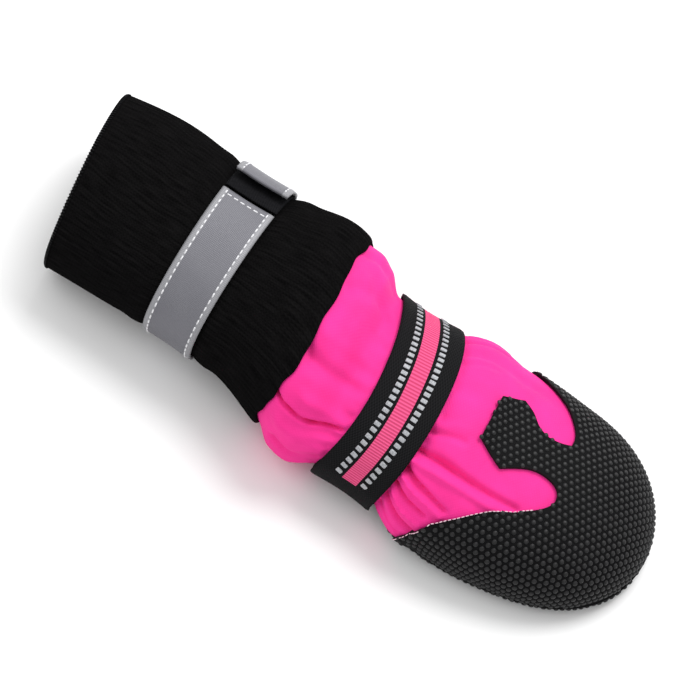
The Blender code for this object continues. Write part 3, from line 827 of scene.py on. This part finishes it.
# A hexagonal lattice wrapped over a rounded form: each point lies as far along the surface from the
# centre as it does in the flat. Gives points and normals on the target, a margin in from its edges
def wrapLattice(smooth, target, upwards, facts):
    centre = Vector((toeTipX - facts["centreBehindTip"], middleY, facts["centreHeight"]))
    pitch, reach, margin = (facts[key] for key in ("pitch", "latticeReach", "dotMargin"))
    span = 0.25
    aroundStep = math.radians(5)
    turns = np.radians(np.arange(0, 360, 5))
    tilts = np.radians(np.linspace(90, -30, 121)) * (1 if upwards else -1)
    profiles = []

    def shoot(tree, around, tilt):
        level = math.cos(tilt)
        way = Vector((level * math.cos(around), level * math.sin(around), math.sin(tilt)))
        hit, normal = tree.ray_cast((centre + way * span) * 1000, -way)[:2]
        if hit is None or (hit / 1000 - centre).dot(way) <= 0:
            return None
        return hit / 1000, normal

    for around in turns:
        lengths, used, before = [], [], None
        for tilt in tilts:
            found = shoot(smooth, around, tilt)
            if found is None:
                break
            lengths.append(0.0 if before is None else lengths[-1] + (found[0] - before).length)
            used.append(tilt)
            before = found[0]
        profiles.append((lengths, used))

    placed = []
    rowHeight = pitch * math.sqrt(3) / 2
    for row in range(-int(reach / rowHeight), int(reach / rowHeight) + 1):
        for step in range(-int(reach / pitch), int(reach / pitch) + 1):
            u, v = (step + 0.5 * (row % 2)) * pitch, row * rowHeight
            far = math.hypot(u, v)
            around = math.atan2(v, u) % (2 * math.pi)
            low = int(around / aroundStep) % len(turns)
            share = around / aroundStep - int(around / aroundStep)
            pair = (profiles[low], profiles[(low + 1) % len(turns)])
            if far > min(p[0][-1] for p in pair) - 0.0002:
                continue
            first, second = (np.interp(far, *p) for p in pair)
            tilt = first * (1 - share) + second * share
            found = shoot(target, around, tilt)
            if found is None:
                continue
            nudge = margin / max((found[0] - centre).length, 0.01)
            aside = nudge / max(math.cos(tilt), 0.2)
            beside = [(around + aside, tilt), (around - aside, tilt)]
            beyond = [(around, tilt + nudge), (around, tilt - nudge)]
            if all(shoot(target, *spot) for spot in beside + beyond):
                placed.append(found)
    return placed


# A low dome with its underside cut off
def dotShape():
    bm = bmesh.new()
    bmesh.ops.create_uvsphere(bm, u_segments=9, v_segments=8, radius=1.0)
    lower = [v for v in bm.verts if v.co.z < -0.5]
    bmesh.ops.delete(bm, geom=lower, context="VERTS")
    bm.verts.index_update()
    return bm


def dotsOn(name, facts, smooth, target, upwards):
    scale = (facts["dotRadius"], facts["dotRadius"], facts["dotHeight"])
    placed = wrapLattice(smooth, target, upwards, facts)
    matrices = [facing(point, normal, scale=scale) for point, normal in placed]
    repeatShape(name, dotShape(), matrices, rubberDots)
    print(name, len(matrices))


capShell, uncutCap = makeCap()
print("toe cap cut")
dotsOn("capDots", capFacts, uncutCap, millimetreTree(capShell), True)

soleFacts = {
    "gap": 0.0003,
    "thickness": 0.0026,
    "lip": 0.0006,
    "lipFade": 0.016,
    "pitch": 0.00292,
    "dotRadius": 0.00100,
    "dotHeight": 0.00056,
    "dotMargin": 0.0005,
    "centreBehindTip": 0.053,
    "centreHeight": 0.014,
    "latticeReach": 0.075,
    "steps": (90, 110),
}


# The rim stands out under the cap's edge, and draws in behind the foot
def soleGrow(back):
    full = capFacts["gap"] + capFacts["thickness"] + soleFacts["lip"]
    fade = (back - last["zones"]["foot"] + soleFacts["lipFade"]) / soleFacts["lipFade"]
    return full * (1 - smoothStep(fade))


def makeSole():
    raised = soleFacts["dotHeight"]
    gap = soleFacts["gap"]

    def place(back, turn):
        rise = raised * np.clip(back / 0.004, 0, 1)
        return lastPoints(back, turn, grow=soleGrow(back), drop=gap, rise=rise)

    bm = bmesh.new()
    backs = placesTo(soleEnd - gap, soleFacts["steps"][0])
    clothGrid(bm, backs, underneath(soleFacts["steps"][1], gap), place)
    closeSeams(bm)
    dish = newPiece("soleDish", bm, dottedGround, ["sole"])
    addWall(dish, soleFacts["thickness"] - soleFacts["dotHeight"])
    return dish


soleTree = millimetreTree(makeSole())
print("sole laid")
dotsOn("soleDots", soleFacts, soleTree, soleTree, False)

insoleFacts = {
    "thickness": 0.0018,
    "inset": 0.0075,
    "gap": 0.0003,
    "edgeDip": 0.0005,
    "steps": (60, 30),
}


def makeInsole():
    bm = bmesh.new()
    backs = placesTo(soleEnd - soleFacts["gap"], insoleFacts["steps"][0])
    across = insoleFacts["steps"][1]
    made = bmesh.ops.create_grid(bm, x_segments=len(backs) - 1, y_segments=across, size=0.5)["verts"]
    for vert in made:
        back = float(np.interp((vert.co.x + 0.5) * (len(backs) - 1), np.arange(len(backs)), backs))
        out = -vert.co.y * 2 * float(column("flat", back))
        behind = back + insoleFacts["inset"] * max(0.0, 1 - back / last["toeRounding"])
        x = toeTipX - behind - out * last["sideSkew"] * float(column("skew", behind))
        y = middleY + last["sway"] * float(column("sway", behind)) + out * float(sectionSize(back)[0])
        top = float(sectionSize(behind)[3]) + soleFacts["thickness"]
        top = top + insoleFacts["gap"] + insoleFacts["thickness"]
        dip = insoleFacts["edgeDip"] * max(0.0, abs(vert.co.y * 2) - 0.93) / 0.07
        vert.co = (x, y, top - dip)
    closeSeams(bm)
    pad = newPiece("insolePad", bm, insoleLooks(), ["insole"])
    addWall(pad, insoleFacts["thickness"] - insoleFacts["edgeDip"])


makeInsole()

cuffFacts = {
    "wall": 0.0020,
    "gap": 0.0003,
    "emergence": 0.020,
    "ribs": 76,
    "ribDepth": 0.00028,
    "ribSteps": 7,
    "frontRoll": 0.0030,
    "frontRollDepth": 0.0017,
    "mouthLip": 0.0022,
    "mouthLipDepth": 0.0008,
    # the edge over the pink cloth bows towards the toe and waves a little
    "seamBow": 0.0042,
    "seamBowTurn": 122.0,
    "seamBowReach": 0.014,
    "seamWaves": (0.00035, 0.00025),
    "squeeze": 0.0007,
    # the knit bulges on both sides of the strap that holds it
    "slack": 0.0027,
    "slackTurn": 40.0,
    # the overlock thread: how many loops, how far they reach over the edge, and the thread's own
    # radius as a share of a loop's
    "loops": 170,
    "loopReach": 0.0014,
    "strand": 0.16,
}


# The knit lies over the end of the upper, and sinks to the last's own size behind it
def cuffGrow(back):
    over = cuffFacts["gap"] + cuffFacts["wall"]
    return over * (1 - smoothStep((back - upperEnd) / cuffFacts["emergence"]))


def makeCuff():
    def place(back, turn):
        grow = cuffGrow(back)
        rib = np.abs(np.cos(np.radians(turn * cuffFacts["ribs"] / 2))) ** 1.6 - 1
        fromFront = np.clip((back - shaftStart) / cuffFacts["frontRoll"], 0, 1)
        roll = -cuffFacts["frontRollDepth"] * (1 - np.sqrt(1 - (1 - fromFront) ** 2))
        toMouth = np.clip((totalLength - back) / cuffFacts["mouthLip"], 0, 1)
        lip = -cuffFacts["mouthLipDepth"] * (1 - np.sqrt(1 - (1 - toMouth) ** 2))
        strapAway = np.abs(back - tapeMiddle) - tapeFacts["width"] / 2
        squeeze = cuffFacts["squeeze"] * np.exp(-(((strapAway - 0.005) / 0.004) ** 2))
        squeeze = squeeze - 0.0003 * (strapAway < 0.0005)
        behind = np.clip((back - tapeMiddle) / (totalLength - tapeMiddle) * 1.16 - 0.16, 0, 1)
        ahead = np.clip((tapeMiddle - back) / (tapeMiddle - shaftStart) * 1.32 - 0.32, 0, 1)
        slack = (np.sin(np.pi * behind) + np.sin(np.pi * ahead)) * bow(turn, cuffFacts["slackTurn"], 85.0)
        squeeze = squeeze + cuffFacts["slack"] * slack
        depth = cuffFacts["ribDepth"] * rib * fromFront
        forward = cuffFacts["seamBow"] * bow(turn, cuffFacts["seamBowTurn"], 62.0)
        angle = np.radians(turn)
        slow, quick = cuffFacts["seamWaves"]
        forward = forward + slow * np.sin(9 * angle + 1.0) + quick * np.sin(17 * angle)
        back = back - forward * (1 - smoothStep((back - shaftStart) / cuffFacts["seamBowReach"]))
        extra = depth + roll + lip + squeeze
        return lastPoints(back, turn, grow=grow, rise=-grow, extra=extra, foldRows=folds)

    bm = bmesh.new()
    frontBacks = shaftStart + cuffFacts["frontRoll"] * (1 - np.cos(np.radians(np.arange(0, 91, 15))))
    mouthBacks = totalLength - cuffFacts["mouthLip"] * (1 - np.cos(np.radians(np.arange(90, -1, -18))))
    backs = np.concatenate([frontBacks, np.linspace(frontBacks[-1], mouthBacks[0], 52)[1:-1], mouthBacks])
    clothGrid(bm, backs, (0.0, 360.0, cuffFacts["ribs"] * cuffFacts["ribSteps"]), place)
    bmesh.ops.remove_doubles(bm, verts=bm.verts, dist=0.00001)
    cuff = newPiece("knitCuff", bm, ribKnit, ["cuff"])
    addWall(cuff, cuffFacts["wall"] - 0.0002)


# One stitch of thread or one dash of yarn: a block with its edges taken off
def stitchShape(length, width, edge=0.32):
    bm = bmesh.new()
    bmesh.ops.create_cube(bm, size=1.0)
    bmesh.ops.scale(bm, vec=(length, width, width), verts=bm.verts)
    bmesh.ops.bevel(bm, geom=bm.edges[:], offset=width * edge, segments=1, profile=0.5,
                    affect="EDGES", material=-1)
    bm.verts.index_update()
    return bm


# Pale thread along the near wing's edge, where the outer face meets the cut one
def makeWingStitches():
    middleOfCap = Vector((toeTipX - capFacts["centreBehindTip"], middleY, capFacts["centreHeight"]))
    wingX, wingY = toeTipX - capFacts["whipBehindTip"], middleY - capFacts["whipAside"]
    mesh = capShell.data
    owners = {}
    for face in mesh.polygons:
        for key in face.edge_keys:
            owners.setdefault(key, []).append(face)
    edge = []
    for key, faces in owners.items():
        middle = (mesh.vertices[key[0]].co + mesh.vertices[key[1]].co) / 2
        outer = [f for f in faces if f.material_index == 0 and f.normal.dot(f.center - middleOfCap) > 0]
        atWing = middle.x < wingX and middle.y < wingY
        if atWing and len(outer) == 1 and len({f.material_index for f in faces}) == 2:
            edge.append((middle, outer[0].normal.copy()))
    edge.sort(key=lambda spot: spot[0].x)
    matrices, before = [], edge[0][0]
    for point, normal in edge:
        way = point - before
        if way.length > capFacts["whipPitch"]:
            matrices.append(facing(point - way / 2 + normal * 0.0001, normal, way))
            before = point
    repeatShape("wingWhipping", stitchShape(*capFacts["whipSize"]), matrices, paleThread)


makeWingStitches()


# Thread thrown over the mouth's edge, loop by loop
def makeMouthEdge():
    loops, wall, strand = (cuffFacts[key] for key in ("loops", "wall", "strand"))
    turns = np.arange(loops) * 360 / loops
    mouth = np.full(loops, totalLength)
    edge = lastPoints(mouth, turns, foldRows=folds)
    below = lastPoints(mouth - 0.004, turns, foldRows=folds)
    inner = lastPoints(mouth, turns, grow=-wall, rise=wall, foldRows=folds)
    bm = bmesh.new()
    bmesh.ops.create_circle(bm, segments=5, radius=strand)
    bmesh.ops.translate(bm, verts=bm.verts, vec=(1, 0, 0))
    bmesh.ops.spin(bm, geom=bm.verts[:] + bm.edges[:] + bm.faces[:], cent=(0, 0, 0), axis=(0, 1, 0),
                   angle=math.radians(-200), steps=7, use_merge=False)
    bm.verts.index_update()
    matrices = []
    for k in range(loops):
        way = Vector(edge[k] - below[k]).normalized()
        through = Vector(edge[k] - inner[k])
        half = through.length / 2 + 0.0003
        outwards = through.normalized()
        side = outwards.cross(way).normalized()
        reach = way * cuffFacts["loopReach"]
        axes = Matrix((outwards * half, side * half * 1.5, reach)).transposed().to_4x4()
        axes.translation = Vector((edge[k] + inner[k]) / 2) - way * 0.0013
        # a loop that would dip under the floor is lifted onto it
        down = (1 + strand) * (abs(axes[2][0]) + abs(axes[2][2])) + strand * abs(axes[2][1])
        axes.translation.z -= min(axes.translation.z - down, 0.0)
        matrices.append(axes)
    repeatShape("mouthOverlock", bm, matrices, blackThread)


makeCuff()
makeMouthEdge()
print("cuff knitted")


# How far each strap stands off the last: its end rises over its own hook tape
def webbingGrow(turn):
    lap = webbingFacts["hookThickness"] + webbingFacts["gap"]
    starts = 360 + webbingFacts["hookStart"] - webbingFacts["lapTurn"]
    return webbingFacts["gap"] + lap * smoothStep((turn - starts) / webbingFacts["lapTurn"])


def tapeGrow(turn):
    lap = tapeFacts["patchThickness"] + tapeFacts["gap"]
    starts = 360 + tapeFacts["patchStart"] - tapeFacts["lapTurn"]
    alongTab = (turn - tapeFacts["end"] + tapeFacts["tabTurn"]) / tapeFacts["tabTurn"]
    lift = tapeFacts["tabLift"] * smoothStep(alongTab)
    return tapeFacts["gap"] + lap * smoothStep((turn - starts) / tapeFacts["lapTurn"]) + lift


# The ankle strap's run over the top bows towards the toe
def bandPoints(back, turn, grow):
    bend = webbingFacts["bow"] * bow(turn, webbingFacts["bowTurn"], 90.0) * (back < shaftStart)
    return lastPoints(back - bend, turn, grow=grow, rise=-grow, foldRows=[])


# A band of cloth round the shoe. keys name its start, end and thickness in its facts, and growth is
# how far it stands off the last at each turn: no more than the gap where nothing lies under it
def makeBand(name, node, middle, facts, keys, cloth, steps, growth=None):
    first, final, thickness = (facts[key] for key in keys)
    width, rounding, drop = facts["width"], 0.0008, 0.0003

    def place(back, turn):
        edge = np.clip((np.abs(back - middle) - (width / 2 - rounding)) / rounding, 0, 1)
        grow = growth(turn) if growth else facts["gap"]
        return bandPoints(back, turn, grow + thickness - drop * edge**2)

    bm = bmesh.new()
    fromEdge = 0.5 - 0.5 * np.cos(np.linspace(0, np.pi, 15))
    backs = middle - width / 2 + width * (0.35 * fromEdge + 0.65 * np.linspace(0, 1, 15))
    clothGrid(bm, backs, (first, final, steps), place)
    uvLayer = bm.loops.layers.uv.verify()
    for face in bm.faces:
        for loop in face.loops:
            loop[uvLayer].uv.x -= middle - width / 2
    band = newPiece(name, bm, cloth, [node])
    addWall(band, thickness - 0.0002)


strapKeys = ("start", "end", "thickness")
webbingCloth = webbingLooks(webbingFacts["width"], webbingFacts["printEnd"])
tapeCloth = reflectiveLooks(tapeFacts["width"])
makeBand("ankleWebbing", "ankle_strap", webbingMiddle, webbingFacts, strapKeys, webbingCloth,
         240, webbingGrow)
makeBand("ankleHookTape", "ankle_strap_hook_end", webbingMiddle, webbingFacts,
         ("hookStart", "hookEnd", "hookThickness"), hookPile, 44)
makeBand("reflectiveStrap", "cuff_strap", tapeMiddle, tapeFacts, strapKeys, tapeCloth,
         240, tapeGrow)
makeBand("reflectiveStrapHook", "cuff_strap_patch", tapeMiddle, tapeFacts,
         ("patchStart", "patchEnd", "patchThickness"), hookPile, 44)
print("straps round the shoe")


# Places every so often along a band at one line across it, with the way along and the way out
def alongBand(back, turns, growth, thickness, pitch):
    fine = np.linspace(turns[0], turns[1], 900)
    backs = np.full_like(fine, back)
    line = bandPoints(backs, fine, growth(fine) + thickness)
    outer = bandPoints(backs, fine, growth(fine) + thickness + 0.001)
    lengths = np.concatenate([[0], np.cumsum(np.linalg.norm(np.diff(line, axis=0), axis=1))])
    spots = np.arange(pitch * 0.7, lengths[-1] - pitch * 0.5, pitch)
    index = np.clip(np.searchsorted(lengths, spots), 1, len(fine) - 1)
    return [(Vector(line[i]), Vector(outer[i] - line[i]), Vector(line[i] - line[i - 1])) for i in index]


def makeDashes():
    size = (*webbingFacts["dashSize"], webbingFacts["dashHeight"])
    matrices = []
    for row in webbingFacts["dashRows"]:
        back = webbingMiddle + (row - 0.5) * webbingFacts["width"]
        spots = alongBand(back, (webbingFacts["start"], webbingFacts["printEnd"]), webbingGrow,
                          webbingFacts["thickness"], webbingFacts["dashPitch"])
        for point, out, way in spots:
            slanted = out.cross(way).normalized() + way.normalized() * 0.10
            matrices.append(facing(point, out, slanted, size))
    repeatShape("webbingDashes", stitchShape(1.0, 1.0, 0.09), matrices, dashThread)


# White stitches along both edges of the reflective strap and across its fixed end
def makeTapeStitches():
    matrices = []
    for side in (-1, 1):
        back = tapeMiddle + side * (tapeFacts["width"] / 2 - tapeFacts["stitchInset"])
        spots = alongBand(back, (tapeFacts["start"], tapeFacts["end"]), tapeGrow, tapeFacts["thickness"],
                          tapeFacts["stitchPitch"])
        matrices += [facing(point, out, way) for point, out, way in spots]
    for step in np.arange(-2.5, 2.6, 1.0) * tapeFacts["stitchPitch"]:
        turns = (tapeFacts["start"] + 2, tapeFacts["start"] + 20)
        point, out, way = alongBand(tapeMiddle + step, turns, tapeGrow, tapeFacts["thickness"], 0.002)[0]
        matrices.append(facing(point, out, out.cross(way)))
    stitch = stitchShape(*tapeFacts["stitchSize"])
    repeatShape("reflectiveStitches", stitch, matrices, whiteThread)


makeDashes()
makeTapeStitches()
print("dashes and stitches on the straps")


studio = {
    "floorSize": 3.0,
    "worldStrength": 0.80,
    "aim": (0.0, 0.0, 0.02),
    "softboxes": {
        "keySoftbox": {"place": (0.14, 0.80, 1.22), "size": 1.0, "power": 16.5},
        "fillSoftbox": {"place": (-0.9, -0.5, 1.1), "size": 1.2, "power": 4.0},
    },
}


def makeFloor():
    paper = Looks("studioPaper", Roughness=0.9)
    paper.paint(paper.noise(3.0), colour(0.90, 0.90, 0.90), colour(0.92, 0.92, 0.92))
    bm = bmesh.new()
    bmesh.ops.create_grid(bm, x_segments=1, y_segments=1, size=studio["floorSize"])
    addObject("studioFloor", meshFrom("studioFloor", bm, paper.material))


def makeWorld():
    world = bpy.data.worlds.new("studioWorld")
    world.use_nodes = True
    background = world.node_tree.nodes["Background"].inputs
    background["Color"].default_value = colour(1, 1, 1)
    background["Strength"].default_value = studio["worldStrength"]
    bpy.context.scene.world = world


def addSoftbox(name, place, size, power):
    data = bpy.data.lights.new(name, "AREA")
    data.shape = "DISK"
    data.size = size
    data.energy = power
    lamp = addObject(name, data)
    lamp.location = place
    lamp.rotation_euler = (Vector(studio["aim"]) - Vector(place)).to_track_quat("-Z", "Y").to_euler()


makeFloor()
makeWorld()
for name, facts in studio["softboxes"].items():
    addSoftbox(name, **facts)
print("floor and lights set")

view = {
    "azimuth": 10.0,
    "elevation": 56.0,
    "roll": 22.7,
    "distance": 1.2,
    "pixelsPerMetre": 2649.0,
    "photoWidth": 700,
    "sensor": 36.0,
    "targetBehindTip": 0.134,
    "targetAside": 0.0061,
    "targetHeight": 0.0248,
}


def placeCamera():
    around, raised, roll = (math.radians(view[name]) for name in ("azimuth", "elevation", "roll"))
    level = Vector((math.cos(around), math.sin(around), 0))
    back = Vector((level.y * math.cos(raised), -level.x * math.cos(raised), math.sin(raised)))
    up = back.cross(level)
    right = math.cos(roll) * level + math.sin(roll) * up
    top = math.cos(roll) * up - math.sin(roll) * level
    data = bpy.data.cameras.new("photoCamera")
    data.sensor_width = view["sensor"]
    data.lens = view["pixelsPerMetre"] * view["distance"] * data.sensor_width / view["photoWidth"]
    camera = addObject("photoCamera", data)
    axes = Matrix((right, top, back)).transposed().to_4x4()
    target = Vector((toeTipX - view["targetBehindTip"], middleY + view["targetAside"], view["targetHeight"]))
    axes.translation = target + back * view["distance"]
    camera.matrix_world = axes
    bpy.context.scene.camera = camera


placeCamera()
bpy.context.scene.view_settings.view_transform = "Standard"
print("camera placed")

bpy.context.view_layer.update()
